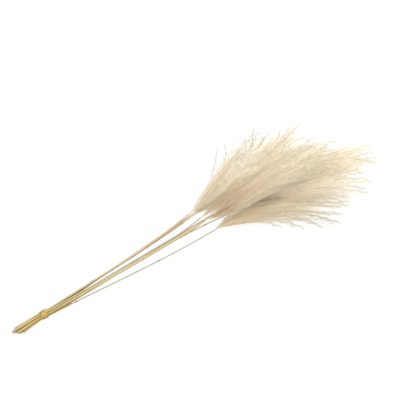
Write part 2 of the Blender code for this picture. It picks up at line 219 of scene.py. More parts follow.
# The light
FLOOR_SIZE = 12
FLOOR_COLOUR = (0.03, 0.03, 0.03)
FLOOR_GLOW = 0.96
SKY_STRENGTH = 1.0
SOFTBOX_PLACE = (-1.2, 0.5, 2.6)
SOFTBOX_SIZE = 3.0
SOFTBOX_POWER = 115
INNER_LIGHT = 0.46  # stands for the light that is passed on from hair to hair, deep in a plume
STRAW_INNER_LIGHT = 0.15  # and from culm to culm and through their dry sheaths

PAINT_MAP = "OFBake"
STRAW_RAMP = (-65 * MM, 395 * MM)  # the x over which a culm's colours change
MARK_REACH = (0.5, 3.5)  # the core and the end of a joint's dark mark, in millimetres


@dataclass
class Stem:
    """One stem: lengths in millimetres, angles in degrees."""

    slot: float | None  # where it is in the tie's ring of culms, or None in its middle
    butt: float  # from the tie to its cut end
    head: tuple  # the top of its culm
    heading: float  # where that top points to
    rise: float
    sheath_end: float
    sheath_radius: float
    joints: tuple
    racemes: int
    tip: tuple  # the middle of its racemes' tips
    fan: tuple  # how far those tips are spread to each side, and up and down
    shade: tuple  # its plume's tint: partly its own, partly painted light and shade that makes plumes 1, 2, 3 and 8 lighter and plumes 4 to 7 darker
    deep: tuple  # the colour of the hairs at the feet of its racemes: their own tan, with painted shade added where they lie in the crevice under the upper plumes, darkest for plumes 6 and 8
    bare: tuple  # the colour of the culm above its sheaths
    fluff: tuple = (1.0, 1.0, 1.0)  # how thick its hairs are, also at the tips, and how much more to the left
    edge: float = 0.0  # how much thinner they are at its left edge, or below 0 at its right one
    foot: float = 0.0  # how far they stand off at the foot of the racemes on its left


STEMS = [
    Stem(
        39, 50, (291, 39, 32), 12, 8, 281, 1.65, (96, 205), 20, (452, 90, 44), (42, 22),
        shade=(1.01, 1.035, 1.08), deep=(0.70, 0.62, 0.48), bare=(0.37, 0.30, 0.185),
        fluff=(1.0, 0.8, -0.5), edge=0.7,
    ),
    Stem(
        347, 54, (295, 38, 22), 8, 5, 285, 1.70, (60, 180), 19, (488, 92, 26), (46, 22),
        shade=(1.01, 1.035, 1.08), deep=(0.70, 0.62, 0.48), bare=(0.37, 0.30, 0.185),
        fluff=(1.0, 0.9, -0.3), edge=0.5,
    ),
    Stem(
        296, 60, (364, 56, 14), 8, 3, 300, 1.45, (120, 262), 19, (568, 38, 16), (34, 22),
        shade=(1.03, 1.03, 1.03), deep=(0.50, 0.42, 0.30), bare=(0.37, 0.305, 0.19),
        fluff=(1.0, 1.6, 1.6),
    ),
    Stem(
        90, 61, (309, 28, 23), 10, 8, 170, 1.35, (118, 236), 20, (511, 66, 48), (45, 20),
        shade=(0.97, 0.975, 0.97), deep=(0.70, 0.61, 0.47), bare=(0.29, 0.23, 0.14),
    ),
    Stem(
        141, 55, (311, 15, 32), 3, 9, 300, 2.00, (84, 190), 20, (534, 22, 50), (44, 22),
        shade=(0.95, 0.955, 0.95), deep=(0.56, 0.45, 0.31), bare=(0.38, 0.295, 0.16),
    ),
    Stem(
        244, 51, (372, 15, 17), -5, 3, 150, 1.25, (150, 314), 19, (568, -28, 24), (48, 24),
        shade=(0.97, 0.97, 0.97), deep=(0.27, 0.15, 0.055), bare=(0.29, 0.245, 0.16),
        fluff=(1.0, 1.1, 0.6), foot=0.3,
    ),
    Stem(
        193, 45, (320, 1, 14), 4, 3, 50, 1.40, (58, 214), 19, (512, -52, 11), (44, 18),
        shade=(0.93, 0.93, 0.91), deep=(0.76, 0.68, 0.52), bare=(0.25, 0.24, 0.19),
        fluff=(0.9, 0.5, 0.5), edge=-0.7, foot=0.8,
    ),
    Stem(
        None, 57, (386, 33, 14), 3, 4, 340, 1.50, (70, 226), 20, (606, 1, 24), (36, 24),
        shade=(1.03, 1.03, 1.03), deep=(0.38, 0.24, 0.12), bare=(0.36, 0.29, 0.175),
        fluff=(1.0, 1.4, 0.8), foot=0.3,
    ),
]


@dataclass
class Stray:
    """A single raceme beside those of its plume: lengths in millimetres, angles in degrees."""

    plume: int
    root: float  # where it leaves the rachis
    end: tuple
    heading: float  # where its tip points to
    rise: float
    fluff: tuple = (1.0, 1.0)  # how thick its hairs are, along it and at its tip
    crinkle: float = 1.0  # how much it winds to and fro


STRAYS = [
    Stray(1, 0.2, (395, 123, 38), 54, 5, (0.1, 0.1), 0.2),
    Stray(1, 0.6, (410, 123, 40), 72, 5, (0.1, 0.1), 0.2),
    Stray(2, 0.8, (465, 124, 46), 62, 5, (0.1, 0.1), 0.2),
    Stray(1, 0.3, (397, 104, 40), 68, 5, (0.5, 1.2), 0.4),
    Stray(1, 0.5, (415, 111, 40), 72, 5, (0.5, 1.2), 0.4),
    Stray(1, 0.7, (432, 116, 40), 70, 5, (0.5, 1.2), 0.4),
    Stray(1, 0.9, (446, 117, 40), 64, 5, (0.5, 1.0), 0.4),
    Stray(2, 0.9, (476, 112, 40), 62, 5, (0.5, 1.0), 0.4),
    Stray(2, 0.7, (456, 112, 40), 66, 5, (0.5, 1.0), 0.4),
    Stray(2, 0.5, (490, 104, 40), 56, 5, (0.6, 1.2), 0.4),
    Stray(2, 0.6, (503, 102, 40), 52, 5, (0.6, 1.2), 0.4),
    Stray(2, 0.4, (516, 99, 40), 46, 5, (0.6, 1.2), 0.4),
    Stray(8, 0.3, (505, -4, 40), -8, 2),
    Stray(8, 0.35, (520, -2, 42), -8, 2),
    Stray(8, 0.4, (500, 6, 42), -6, 2),
    Stray(8, 0.5, (552, 14, 44), -6, 2),
    Stray(8, 0.6, (536, 30, 46), -2, 2),
    Stray(8, 0.7, (574, 22, 40), -6, 1),
    Stray(8, 0.8, (520, 10, 46), -8, 2),
    Stray(8, 0.9, (592, 8, 37), -6, 0),
    Stray(8, 0.95, (545, 2, 42), -8, 1),
    Stray(6, 0.5, (545, -58, 14), -20, 0),
    Stray(6, 0.6, (552, -52, 16), -18, 0),
    Stray(6, 0.7, (538, -62, 12), -22, 0),
    Stray(6, 0.8, (560, -44, 18), -14, 0),
    Stray(8, 0.5, (590, -22, 20), -10, 0),
    Stray(8, 0.7, (600, -12, 22), -8, 0),
    Stray(7, 0.0, (357, 14, 17), 26, 2, (1.5, 1.5)),
    Stray(7, 0.06, (366, 17, 18), 20, 2, (1.5, 1.5)),
    Stray(7, 0.12, (380, 17, 18), 10, 2, (1.5, 1.5)),
    Stray(7, 0.3, (400, 16, 17), 0, 1, (1.5, 1.5)),
    Stray(7, 0.1, (424, 14, 16), -10, 0),
    Stray(7, 0.2, (440, 2, 14), -14, 0),
    Stray(7, 0.25, (425, -40, 3), -52, -2, (0.5, 0.5)),
    Stray(7, 0.35, (445, -50, 3), -56, -2, (0.5, 0.5)),
    Stray(7, 0.6, (457, -61, 3), -58, -2, (0.7, 0.1)),
    Stray(7, 0.8, (487, -76, 3), -52, -2, (0.7, 0.1)),
    Stray(7, 0.9, (512, -77, 4), -44, -2, (0.7, 0.1)),
]


def unit(vector):
    return vector / np.linalg.norm(vector)


def units(vectors):
    return vectors / np.linalg.norm(vectors, axis=-1, keepdims=True)


def hermite(s, start, leave, end, arrive):
    """Points on the curve from start to end with these slopes at its ends."""
    return (
        (2 * s**3 - 3 * s**2 + 1) * start
        + (s**3 - 2 * s**2 + s) * leave
        + (3 * s**2 - 2 * s**3) * end
        + (s**3 - s**2) * arrive
    )


def ring_radius():
    """From the middle of the tie to the middle of each culm in the ring."""
    return (2 * CULM_RADIUS + SEAT_GAP) / (2 * math.sin(math.pi / RING_CULMS))


def tie_radii():
    inner = ring_radius() + CULM_RADIUS + TIE_PLAY
    return inner, inner + TIE_THICKNESS


def tie_height():
    return tie_radii()[1] - TIE_FLAT


def slot_place(stem):
    """Where a stem's middle is in the tie: y and z."""
    if stem.slot is None:
        return 0.0, tie_height()
    angle = math.radians(stem.slot)
    return ring_radius() * math.cos(angle), tie_height() + ring_radius() * math.sin(angle)


def tied_radius(stem):
    return MIDDLE_RADIUS if stem.slot is None else CULM_RADIUS


def head_direction(stem):
    """Where the top of a stem's culm, or the tip of a stray, points to."""
    heading, rise = math.radians(stem.heading), math.radians(stem.rise)
    return unit(np.array([math.cos(heading), math.sin(heading), math.tan(rise)]))


def culm_point(stem, x):
    """The middle of a culm at x: straight runs on both sides of the tie, with a soft bend between them."""
    start_y, start_z = slot_place(stem)
    ramp = math.hypot(x, BEND) - BEND
    if x < 0:
        run = math.hypot(stem.butt * MM, BEND) - BEND
        y = start_y * (1 + BUTT_SPLAY[0] * ramp / run) - BUTT_LEAN * ramp / run
        return np.array([x, y, start_z + (start_z - tie_height()) * BUTT_SPLAY[1] * ramp / run])
    head = np.array(stem.head) * MM
    aim = head_direction(stem)
    share = x / head[0]
    ease = ramp / (math.hypot(head[0], BEND) - BEND)
    point = [x]
    for start, end, slope in ((start_y, head[1], aim[1] / aim[0]), (start_z, head[2], aim[2] / aim[0])):
        bow = (end - start) - slope * head[0]
        point.append(start + (end - start) * ease + bow * share**2 * (1 - share))
    return np.array(point)


def rachis_point(stem, share):
    """The middle of a plume's rachis, at a share of its length from just above the culm's top."""
    aim = head_direction(stem)
    start = np.array(stem.head) * MM + aim * SEAT_GAP
    level = unit(np.array(stem.tip) * MM - start)
    return start + RACHIS_LENGTH * share * (aim + RACHIS_TURN * share * (level - aim))


def raceme_path(stem, number, random):
    """One raceme's middle: out of the rachis at a sharp angle, along the plume, and turned out at its tip."""
    share = (number + 0.5) / stem.racemes
    around = number * GOLDEN_ANGLE + stem.head[0]
    lowest, topmost = ROOT_PLACES
    root = rachis_point(stem, lowest + (topmost - lowest) * share)
    aim = head_direction(stem)
    centre = np.array(stem.tip) * MM
    level = unit(centre - root)
    side = unit(np.cross(UP, level))
    top = np.cross(level, side)
    spread = math.sqrt(1 - FAN_TAPER * share)
    across, along_up = math.cos(around), math.sin(around)
    outward = unit(across * side + UPWARD_SHARE * along_up * top)
    tip = centre + side * across * spread * stem.fan[0] * MM + top * along_up * spread * stem.fan[1] * MM
    reach = 1 + random.uniform(-REACH_RANGE, REACH_RANGE) + REACH_FALL * (REACH_MIDDLE - spread**2)
    tip = root + (tip - root) * reach
    length = np.linalg.norm(tip - root)
    leave = aim * math.cos(ROOT_ANGLE) + outward * math.sin(ROOT_ANGLE)
    turn = OUTWARD_ANGLE * spread
    arrive = unit(level * math.cos(turn) + outward * math.sin(turn) - UP * TIP_DROOP)
    s = np.linspace(0, 1, RACEME_RINGS)[:, None]
    path = hermite(s, root, leave * length, tip, arrive * length)
    phase, waves = random.uniform(0, 2 * math.pi), random.uniform(*WAVES)
    sway = WAVE * s * np.sin(phase + 2 * math.pi * waves * s)
    heave = UPWARD_SHARE * WAVE * s * np.cos(phase + 2 * math.pi * waves * s)
    return path + sway * side + heave * top


def all_racemes():
    """Each raceme's path, and the number of the plume that it belongs to."""
    random = np.random.default_rng(SEED)
    paths, plumes = [], []
    for number, stem in enumerate(STEMS):
        for k in range(stem.racemes):
            paths.append(raceme_path(stem, k, random))
            plumes.append(number)
    return np.array(paths), np.array(plumes)


def fixed_points():
    """Points on the culms and rachises, which the racemes of other plumes keep off, and each one's plume."""
    points, owners = [], []
    for number, stem in enumerate(STEMS):
        points += [culm_point(stem, x) for x in np.arange(KEPT_OFF_FROM, stem.head[0] * MM, KEPT_OFF_STEP)]
        points += [rachis_point(stem, s) for s in np.arange(0, 1, KEPT_OFF_STEP / RACHIS_LENGTH)]
        owners += [number] * (len(points) - len(owners))
    return np.array(points), np.array(owners)


def near_pairs(points, reach):
    """The numbers of each two points that are less than reach apart, both ways round."""
    tree = KDTree(len(points))
    for index, point in enumerate(points):
        tree.insert(point, index)
    tree.balance()
    near = (tree.find_range(point, reach) for point in points)
    return np.array([(index, other) for index, found in enumerate(near) for _, other, _ in found]).T


def settle(paths, plumes):
    """Moves the racemes apart until each lies clear of the others, with none of them under the table."""
    count, rings, _ = paths.shape
    samples = (rings - 1) * RUN_STEPS + 1
    fixed, fixed_plumes = fixed_points()
    places, ring_places = np.linspace(0, 1, samples), np.linspace(0, 1, rings)
    blend = np.array([np.interp(places, ring_places, row) for row in np.eye(rings)]).T
    at = np.concatenate([np.tile(places, count), np.zeros(len(fixed))])
    free = np.clip((at - HELD_SHARE) / (ROOT_SHARE - HELD_SHARE), 0, 1)
    raceme = np.concatenate([np.repeat(np.arange(count), samples), -1 - fixed_plumes])
    plume = np.concatenate([np.repeat(plumes, samples), fixed_plumes])
    ring_free = np.clip((ring_places - HELD_SHARE) / (ROOT_SHARE - HELD_SHARE), 0, 1)[None, :, None]
    shift = np.zeros_like(paths)
    for step in range(SETTLE_STEPS):
        points = np.concatenate([(blend @ (paths + shift)).reshape(-1, 3), fixed])
        here, there = near_pairs(points, CLEARANCE)
        at_root = (plume[here] == plume[there]) & (np.minimum(at[here], at[there]) < ROOT_SHARE)
        apart = (raceme[here] != raceme[there]) & ~at_root & (free[here] > 0)
        here, there = here[apart], there[apart]
        away = points[here] - points[there]
        distance = np.linalg.norm(away, axis=1)[:, None]
        give = (free[here] / (free[here] + free[there]))[:, None]
        push = np.zeros_like(points)
        np.add.at(push, here, give * (CLEARANCE - distance) * away / np.maximum(distance, LEAST_DISTANCE))
        push = push[: count * samples].reshape(count, samples, 3)
        shift += SETTLE_RATE * ring_free * (blend.T @ push) / blend.sum(axis=0)[None, :, None]
        if step < SETTLE_STEPS - LAST_STEPS:
            smooth = 0.5 * shift[:, 1:-1] + 0.25 * (shift[:, :-2] + shift[:, 2:])
            shift[:, 1:-1] += SETTLE_EASE * (smooth - shift[:, 1:-1])
        shift[:, :, 2] = np.maximum(shift[:, :, 2], FLOOR_HEIGHT - paths[:, :, 2])
    return paths + shift


def put_in_scene(name, data):
    thing = bpy.data.objects.new(name, data)
    bpy.context.scene.collection.objects.link(thing)
    return thing


class Shell:
    """Gathers the corners and triangles of one piece, with each triangle corner's place on the paint map."""

    def __init__(self):
        self.corners, self.triangles, self.places, self.values, self.count = [], [], [], [], 0

    def add(self, corners, triangles, places, values=None):
        """values holds numbers for each corner, which the materials read."""
        self.corners.append(corners)
        self.triangles.append(triangles + self.count)
        self.places.append(places)
        self.values.append(values)
        self.count += len(corners)

    def add_rings(self, rings, across, along=(0, 1), turned=False, values=None):
        """Adds a strand of rings. across and along are its spans of the paint map, swapped if turned."""
        rows, columns, _ = rings.shape
        row, column = (part.reshape(-1, 1) for part in np.indices((rows - 1, columns)))
        row = np.concatenate([row + [0, 0, 1], row + [0, 1, 1]])
        column = np.concatenate([column + [0, 1, 1], column + [0, 1, 0]])
        u = np.interp(column, [0, columns], across)
        v = np.interp(row, np.linspace(0, rows - 1, len(along)), along)
        places = np.stack([v, u] if turned else [u, v], axis=2)
        self.add(rings.reshape(-1, 3), row * columns + column % columns, places, values)

    def piece(self, name, surface, nodes, slot, values_name=None):
        """Makes the piece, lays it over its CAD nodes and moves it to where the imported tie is."""
        corners = np.concatenate(self.corners)
        corners[:, 2] = np.maximum(corners[:, 2], 0.0)
        corners = corners + TIE_PLACE
        triangles = np.concatenate(self.triangles)
        mesh = bpy.data.meshes.new(name)
        mesh.vertices.add(len(corners))
        mesh.vertices.foreach_set("co", corners.astype(np.float32).ravel())
        mesh.loops.add(triangles.size)
        mesh.loops.foreach_set("vertex_index", triangles.astype(np.int32).ravel())
        mesh.polygons.add(len(triangles))
        mesh.polygons.foreach_set("loop_start", np.arange(0, triangles.size, 3, dtype=np.int32))
        mesh.update(calc_edges=True)
        paint = mesh.uv_layers.new(name=PAINT_MAP)
        paint.data.foreach_set("uv", np.concatenate(self.places).astype(np.float32).ravel())
        if values_name:
            kept = mesh.attributes.new(values_name, "FLOAT_VECTOR", "POINT")
            kept.data.foreach_set("vector", np.concatenate(self.values).astype(np.float32).ravel())
        mesh.shade_smooth()
        mesh.materials.append(surface)
        thing = put_in_scene(name, mesh)
        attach(thing, "root")
        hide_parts(*nodes)


def frames_along(points):
    """Two directions across a path at each of its points, carried along it with no twist."""
    tangents = units(np.gradient(points, axis=0))
    side = unit(np.cross(UP, tangents[0]))
    sides = []
    for tangent in tangents:
        side = unit(side - tangent * np.dot(side, tangent))
        sides.append(side)
    sides = np.array(sides)
    return sides, np.cross(tangents, sides)


def tube_corners(points, radii, count, phase=0.0):
    """The corners of the rings of a tube along a path: rings by sides by 3."""
    sides, tops = frames_along(points)
    angles = phase + 2 * math.pi * np.arange(count) / count
    radii = np.broadcast_to(np.asarray(radii, float).reshape(len(points), -1), (len(points), count))
    out = np.cos(angles)[:, None] * sides[:, None, :] + np.sin(angles)[:, None] * tops[:, None, :]
    return points[:, None, :] + radii[:, :, None] * out


# The culms


def fine_stations(stem):
    """The x of each ring of a fine culm: even steps, and close steps at its joints and its sheath's lip."""
    head, sheath_end = stem.head[0] * MM, stem.sheath_end * MM
    places = list(np.arange(-stem.butt * MM, head, FINE_STEP)) + [head]
    for joint in stem.joints:
        places += list(np.arange(joint * MM - CLOSE_REACH, joint * MM + CLOSE_REACH, CLOSE_STEP))
    places += list(np.arange(sheath_end - LIP_SLANT - LIP_LENGTH, sheath_end + LIP_SLANT, CLOSE_STEP))
    places = sorted(place for place in places if -stem.butt * MM <= place <= head)
    kept = [places[0]]
    for place in places[1:]:
        if place - kept[-1] > CLOSE_STEP / 2:
            kept.append(place)
    return np.array(kept)


def joint_swell(stem, x):
    return sum(np.exp(-(((x - joint * MM) / JOINT_LENGTH) ** 2)) for joint in stem.joints)


def culm_radii(stem, x, angles):
    """A culm's radius at each x and angle, with the free edge and the slanting lip of its sheath."""
    sheathed, sheath_end, tied = stem.sheath_radius * MM, stem.sheath_end * MM, tied_radius(stem)
    lower = tied + BUTT_FLARE * -x / (stem.butt * MM)
    upper = tied + (sheathed - tied) * x / sheath_end
    sheath = np.where(x < 0, lower, upper)[:, None]
    turn = (angles[None, :] / (2 * math.pi) - WRAP_TWIST * x[:, None] + stem.head[1]) % 1
    lip = sheath_end + LIP_SLANT * (np.cos(angles + stem.head[0]) - 1) / 2
    kept = np.clip((lip[None, :] - x[:, None]) / LIP_LENGTH + 1, 0, 1)
    radius = BARE_RADIUS + (sheath - BARE_RADIUS + WRAP_STEP * (turn - 0.5)) * kept
    return radius + JOINT_SWELL * joint_swell(stem, x)[:, None]


def make_culm(number, stem):
    x = fine_stations(stem)
    points = np.array([culm_point(stem, place) for place in x])
    angles = 2 * math.pi * np.arange(FINE_SIDES) / FINE_SIDES
    rings = tube_corners(points, culm_radii(stem, x, angles), FINE_SIDES)
    first, inward = points[0], unit(points[1] - points[0])
    cut = [first + (rings[0] - first) * share + inward * depth for share, depth in CUT_RINGS]
    top = points[-1] + (rings[-1] - points[-1]) * TOP_CLOSE
    along = np.concatenate([CUT_PLACES, np.linspace(*WALL_PLACES, len(x)), [1.0]])
    x_along = np.concatenate([[x[0]] * len(CUT_RINGS), x, [x[-1]]])
    grain = np.stack(np.broadcast_arrays(np.cos(angles), np.sin(angles), x_along[:, None]), axis=2)
    shell = Shell()
    shell.add_rings(np.concatenate([cut, rings, [top]]), (0, 1), along, values=grain.reshape(-1, 3))
    shell.piece(f"straw_culm_{number}", straw_material(number, stem), [f"culm_{number}"], "straw", "grain")


# The tie


def paint_strip(span, number, count):
    """One of count even strips of a span of the paint map."""
    width = (span[1] - span[0]) / count
    return span[0] + width * number, span[0] + width * (number + 1)


def rings_round(x, radii):
    """The rings of a strand that goes once round the tie, from its corners' x and radius."""
    angles = np.linspace(0, 2 * math.pi, TURN_POINTS)[:, None]
    y, z = radii * np.cos(angles), tie_height() + radii * np.sin(angles)
    return np.stack([np.broadcast_to(x, y.shape), y, z], axis=2)


def add_turn_strand(shell, turn, strand, random):
    """One strand of a turn: a flattened ring that wanders a little."""
    share = (strand + 0.5) / TURN_STRANDS - 0.5
    x = (turn - (TIE_TURNS - 1) / 2) * TURN_WIDTH + share * TURN_WIDTH * TURN_FILL
    angles = np.linspace(0, 2 * math.pi, TURN_POINTS)[:, None]
    wobble = STRAND_WOBBLE * np.sin(angles * random.integers(2, 5) + random.uniform(0, 6))
    lift = STRAND_WOBBLE * np.sin(angles * random.integers(2, 5) + random.uniform(0, 6))
    radius = tie_radii()[1] - STRAND_SINK - STRAND_BOW * (2 * share) ** 2 + lift
    turns = 2 * math.pi * np.arange(STRAND_SIDES) / STRAND_SIDES
    x = x + wobble + STRAND_RADIUS * np.cos(turns)
    rings = rings_round(x, radius + STRAND_FLATNESS * STRAND_RADIUS * np.sin(turns))
    shell.add_rings(rings, paint_strip(TURNS_PAINT, turn * TURN_STRANDS + strand, TIE_TURNS * TURN_STRANDS))


def add_band(shell):
    """A plain band under the strands, which fills the gaps between them."""
    inner, outer = tie_radii()
    half, low, high = TIE_TURNS * TURN_WIDTH / 2 - BAND_INSET, inner + BAND_CLEAR, outer - BAND_SINK
    x, radii = np.array([[-half, low], [-half, high], [half, high], [half, low]]).T
    shell.add_rings(rings_round(x, radii), BAND_PAINT)


def make_tie():
    random = np.random.default_rng(LOOK_SEED)
    shell = Shell()
    for turn in range(TIE_TURNS):
        for strand in range(TURN_STRANDS):
            add_turn_strand(shell, turn, strand, random)
    add_band(shell)
    out = np.array([0.0, math.sin(KNOT_ANGLE), math.cos(KNOT_ANGLE)])
    middle = np.array([0.0, 0.0, tie_height()]) + out * (tie_radii()[1] + KNOT_LIFT)
    add_knot(shell, middle, out, random)
    add_tails(shell, middle, out, random)
    shell.piece("raffia_tie", raffia_material(), ["tie"], "raffia")


def add_knot(shell, middle, out, random):
    """Strands that arch over the turns and cross each other."""
    around = unit(np.cross(out, AHEAD))
    length, breadth, height = KNOT_SIZE
    arch, arch_change, arch_step = LOOP_ARCH
    bow, bow_step = LOOP_SWAY
    s = np.linspace(-1, 1, KNOT_POINTS)[:, None]
    for loop in range(KNOT_LOOPS):
        angle = math.pi * loop / KNOT_LOOPS + random.uniform(-LOOP_TURN, LOOP_TURN)
        way = math.cos(angle) * AHEAD * length + math.sin(angle) * around * breadth
        rise = height * (arch + arch_change * math.sin(loop * arch_step))
        rise = rise * np.sqrt(np.maximum(0, 1 - (s / LOOP_END) ** 2))
        sway = np.cross(out, way) * bow * math.sin(loop * bow_step) * (1 - s**2)
        points = middle - out * KNOT_SINK + s * way * LOOP_REACH + rise * out + sway
        rings = tube_corners(points, np.full(KNOT_POINTS, KNOT_RADIUS), STRAND_SIDES)
        shell.add_rings(rings, paint_strip(KNOT_PAINT, loop, KNOT_LOOPS))


def add_tails(shell, middle, out, random):
    """The knot's two frayed tails, which point both ways along the bundle."""
    around = unit(np.cross(out, AHEAD))
    s = np.linspace(0, 1, TAIL_POINTS)[:, None]
    for side in (-1, 1):
        for strand in range(TAIL_STRANDS):
            share = (strand + 0.5) / TAIL_STRANDS - 0.5
            spread = around * TAIL_SPREAD * share * (0.6 + 0.8 * s)
            end = TAIL_LENGTH * (1 - 0.12 * abs(share) + random.uniform(-0.08, 0.05))
            line = middle + side * AHEAD * end * s + side * TAIL_CURL * s**2 * around + TAIL_LIFT * s * out
            points = line + spread + out * TAIL_FRAY * random.uniform(-1, 1) * s
            rings = tube_corners(points, TAIL_RADIUS * (1 - 0.5 * s**4), STRAND_SIDES)
            shell.add_rings(rings, paint_strip(TAIL_PAINT, strand, TAIL_STRANDS))


# The plumes


def smooth_line(rings, count):
    """A smooth line of this many points through a raceme's rings."""
    slopes = np.gradient(rings, axis=0)
    places = np.linspace(0, len(rings) - 1, count)
    first = np.minimum(places.astype(int), len(rings) - 2)
    s = (places - first)[:, None]
    return hermite(s, rings[first], slopes[first], rings[first + 1], slopes[first + 1])


def lengths_along(line):
    """How far along a line each of its points is."""
    return np.concatenate([[0], np.cumsum(np.linalg.norm(np.diff(line, axis=0), axis=1))])


def crinkled(line, share, random):
    """The line with a fine to and fro, which is wider towards its tip. share is how much of it."""
    lengths = lengths_along(line)
    sides, tops = frames_along(line)
    reach = share * np.interp(lengths, [0, lengths[-1]], CRINKLE)[:, None]
    for across in (sides, tops):
        turns = lengths / random.uniform(*CRINKLE_STEP) + random.uniform(0, 1)
        line = line + reach * np.sin(2 * math.pi * turns)[:, None] * across
    return line


def between_paths(paths, random):
    """More racemes, each half-way between two others."""
    made = []
    count = len(paths)
    for k in range(BETWEEN_RACEMES):
        first = int(k * count / BETWEEN_RACEMES)
        other = (first + BETWEEN_STEPS[k % len(BETWEEN_STEPS)]) % count
        mix = random.uniform(*BETWEEN_MIX)
        path = paths[first] * mix + paths[other] * (1 - mix)
        made.append(path[0] + (path - path[0]) * random.uniform(*BETWEEN_REACH))
    return np.array(made)


def beside_paths(paths, random):
    """More racemes, each beside another one at its foot and splayed from it at its tip."""
    made = []
    count = len(paths)
    s = np.linspace(0, 1, paths.shape[1])[:, None]
    for k in range(BESIDE_RACEMES):
        path = paths[int(k * count / BESIDE_RACEMES)]
        splay = random.normal(0, BESIDE_SPREAD)
        path = path[0] + (path - path[0]) * random.uniform(*BESIDE_REACH) + splay * s
        path[:, 2] = np.maximum(path[:, 2], FLOOR_HEIGHT)
        made.append(path)
    return np.array(made)


def at_shares(line, shares):
    """The points and directions on a line at shares of its length."""
    lengths = lengths_along(line)
    wanted = shares * lengths[-1]
    tangents = units(np.gradient(line, axis=0))
    points, directions = (
        np.stack([np.interp(wanted, lengths, part) for part in values.T], axis=1)
        for values in (line, tangents)
    )
    return points, units(directions)


def across_of(directions):
    """Two directions across each of these: one to its left and one to its top."""
    sides = units(np.cross(UP, directions))
    return sides, np.cross(directions, sides)


def leaning(directions, around, lean):
    """The directions, each tilted out by its lean towards its own side round the raceme."""
    sides, tops = across_of(directions)
    outward = np.cos(around)[:, None] * sides + np.sin(around)[:, None] * tops
    return directions * np.cos(lean)[:, None] + outward * np.sin(lean)[:, None]


def add_stalk(shell, line, random):
    radii = np.linspace(*STALK_RADIUS, STALK_POINTS)
    rings = tube_corners(smooth_line(line, STALK_POINTS), radii, STALK_SIDES, random.uniform(0, 6))
    strip = random.uniform(0, 0.9)
    shell.add_rings(rings, (strip, strip + 0.09), turned=True)


def add_husks(shell, line, shown, random):
    """Paired husks along a raceme. Returns where each one starts, its direction, its side and its share."""
    nodes = int((1 - FIRST_HUSK) * lengths_along(line)[-1] / NODE_STEP)
    count = 2 * nodes
    shares = np.repeat(np.linspace(FIRST_HUSK, LAST_HUSK, nodes), 2)
    shares = np.clip(shares + random.uniform(-HUSK_SHIFT, HUSK_SHIFT, count), 0, 1)
    points, directions = at_shares(line, shares)
    around = random.uniform(0, 6) + np.tile([0, math.pi], nodes) + np.repeat(np.arange(nodes) * NODE_TURN, 2)
    around = around + random.normal(0, NODE_SWERVE, count)
    aim = leaning(directions, around, np.radians(random.uniform(*HUSK_ANGLE, count)))
    starts = points + aim * np.tile(HUSK_STALK, nodes)[:, None]
    at_foot, at_tip = HUSK_SHORTER
    shorter = np.minimum(1, at_tip + 2 * (1 - shares)) * np.minimum(1, at_foot + 3 * shares)
    lengths = (random.uniform(*HUSK_LENGTH, count) * shorter)[:, None]
    wide, thick = across_of(aim)
    radii = np.interp(shares, [0, 1], HUSK_RADIUS)[:, None]
    wide, thick = wide * radii, thick * radii * HUSK_FLATNESS
    middle = starts + aim * lengths * HUSK_WIDEST
    corners = [starts, middle + wide, middle + thick, middle - wide, middle - thick, starts + aim * lengths]
    triangles = (HUSK_FACES + len(corners) * np.arange(count)[:, None, None]).reshape(-1, 3)
    spots = np.stack([shares * HUSK_PAINT, random.uniform(0.02, 0.98, count)], axis=1)
    places = (HUSK_SPOTS + spots[:, None, :])[:, HUSK_FACES].reshape(-1, 3, 2)
    if shown:
        seen = np.repeat(shares > FIRST_SEEN, len(HUSK_FACES))
        shell.add(np.stack(corners, axis=1).reshape(-1, 3), triangles[seen], places[seen])
    return starts, directions, around, shares


def add_blades(shell, starts, aims, lengths, width, spots, reach, random):
    """Long thin triangles, each from a start along its aim and from a spot along the paint map."""
    count = len(starts)
    turn = random.uniform(0, math.pi, count)[:, None]
    sides, tops = across_of(aims)
    across = (np.cos(turn) * sides + np.sin(turn) * tops) * width / 2
    corners = np.stack([starts - across, starts + across, starts + aims * lengths[:, None]], axis=1)
    triangles = np.arange(3 * count).reshape(-1, 3)
    root = spots * [1 - reach, 1]
    places = np.stack([root - [0, BLADE_PAINT], root + [0, BLADE_PAINT], root + [reach, 0]], axis=1)
    shell.add(corners.reshape(-1, 3), triangles, places)


def add_hairs(shell, husks, body, tip, foot, random):
    """A tuft of silky hairs at the foot of each husk, sleek at the raceme's foot and thinner at its tip."""
    each = max(LEAST_HAIRS, int(round(HAIRS * body)))
    strips = np.repeat(random.uniform(0.01, 0.99, len(husks[0])), each)
    starts, directions, around, shares = (np.repeat(values, each, axis=0) for values in husks)
    count = len(starts)
    around = around + random.normal(0, HAIR_AROUND, count)
    open_share = np.interp(shares, [0, LEAN_REACH, 1], [ROOT_LEAN + foot, 1, TIP_LEAN])
    lean = np.radians(np.clip(random.normal(*HAIR_ANGLE, count) * open_share, *HAIR_LIMITS))
    aims = leaning(directions, around, lean)
    shorter = np.interp(shares, [0, LEAN_REACH, SHORTER_FROM, 1], [FOOT_LENGTH, 1, 1, TIP_LENGTH])
    lengths = random.uniform(*HAIR_LENGTH, count) * shorter
    thin = np.clip((shares - BARE_FROM) / (1 - BARE_FROM), 0, 1)
    kept = random.uniform(0, 1, count) < 1 - (1 - tip) * thin
    spots = np.stack([shares, strips], axis=1)[kept]
    add_blades(shell, starts[kept], aims[kept], lengths[kept], HAIR_WIDTH, spots, HAIR_PAINT, random)


def add_awns(shell, husks, random):
    starts, directions, around, shares = husks
    count = len(starts)
    aims = leaning(directions, around, np.radians(random.uniform(*AWN_ANGLE, count)))
    spots = np.stack([shares, random.uniform(0.01, 0.99, count)], axis=1)
    lengths = random.uniform(*AWN_LENGTH, count)
    add_blades(shell, starts + aims * AWN_START, aims, lengths, AWN_WIDTH, spots, AWN_PAINT, random)


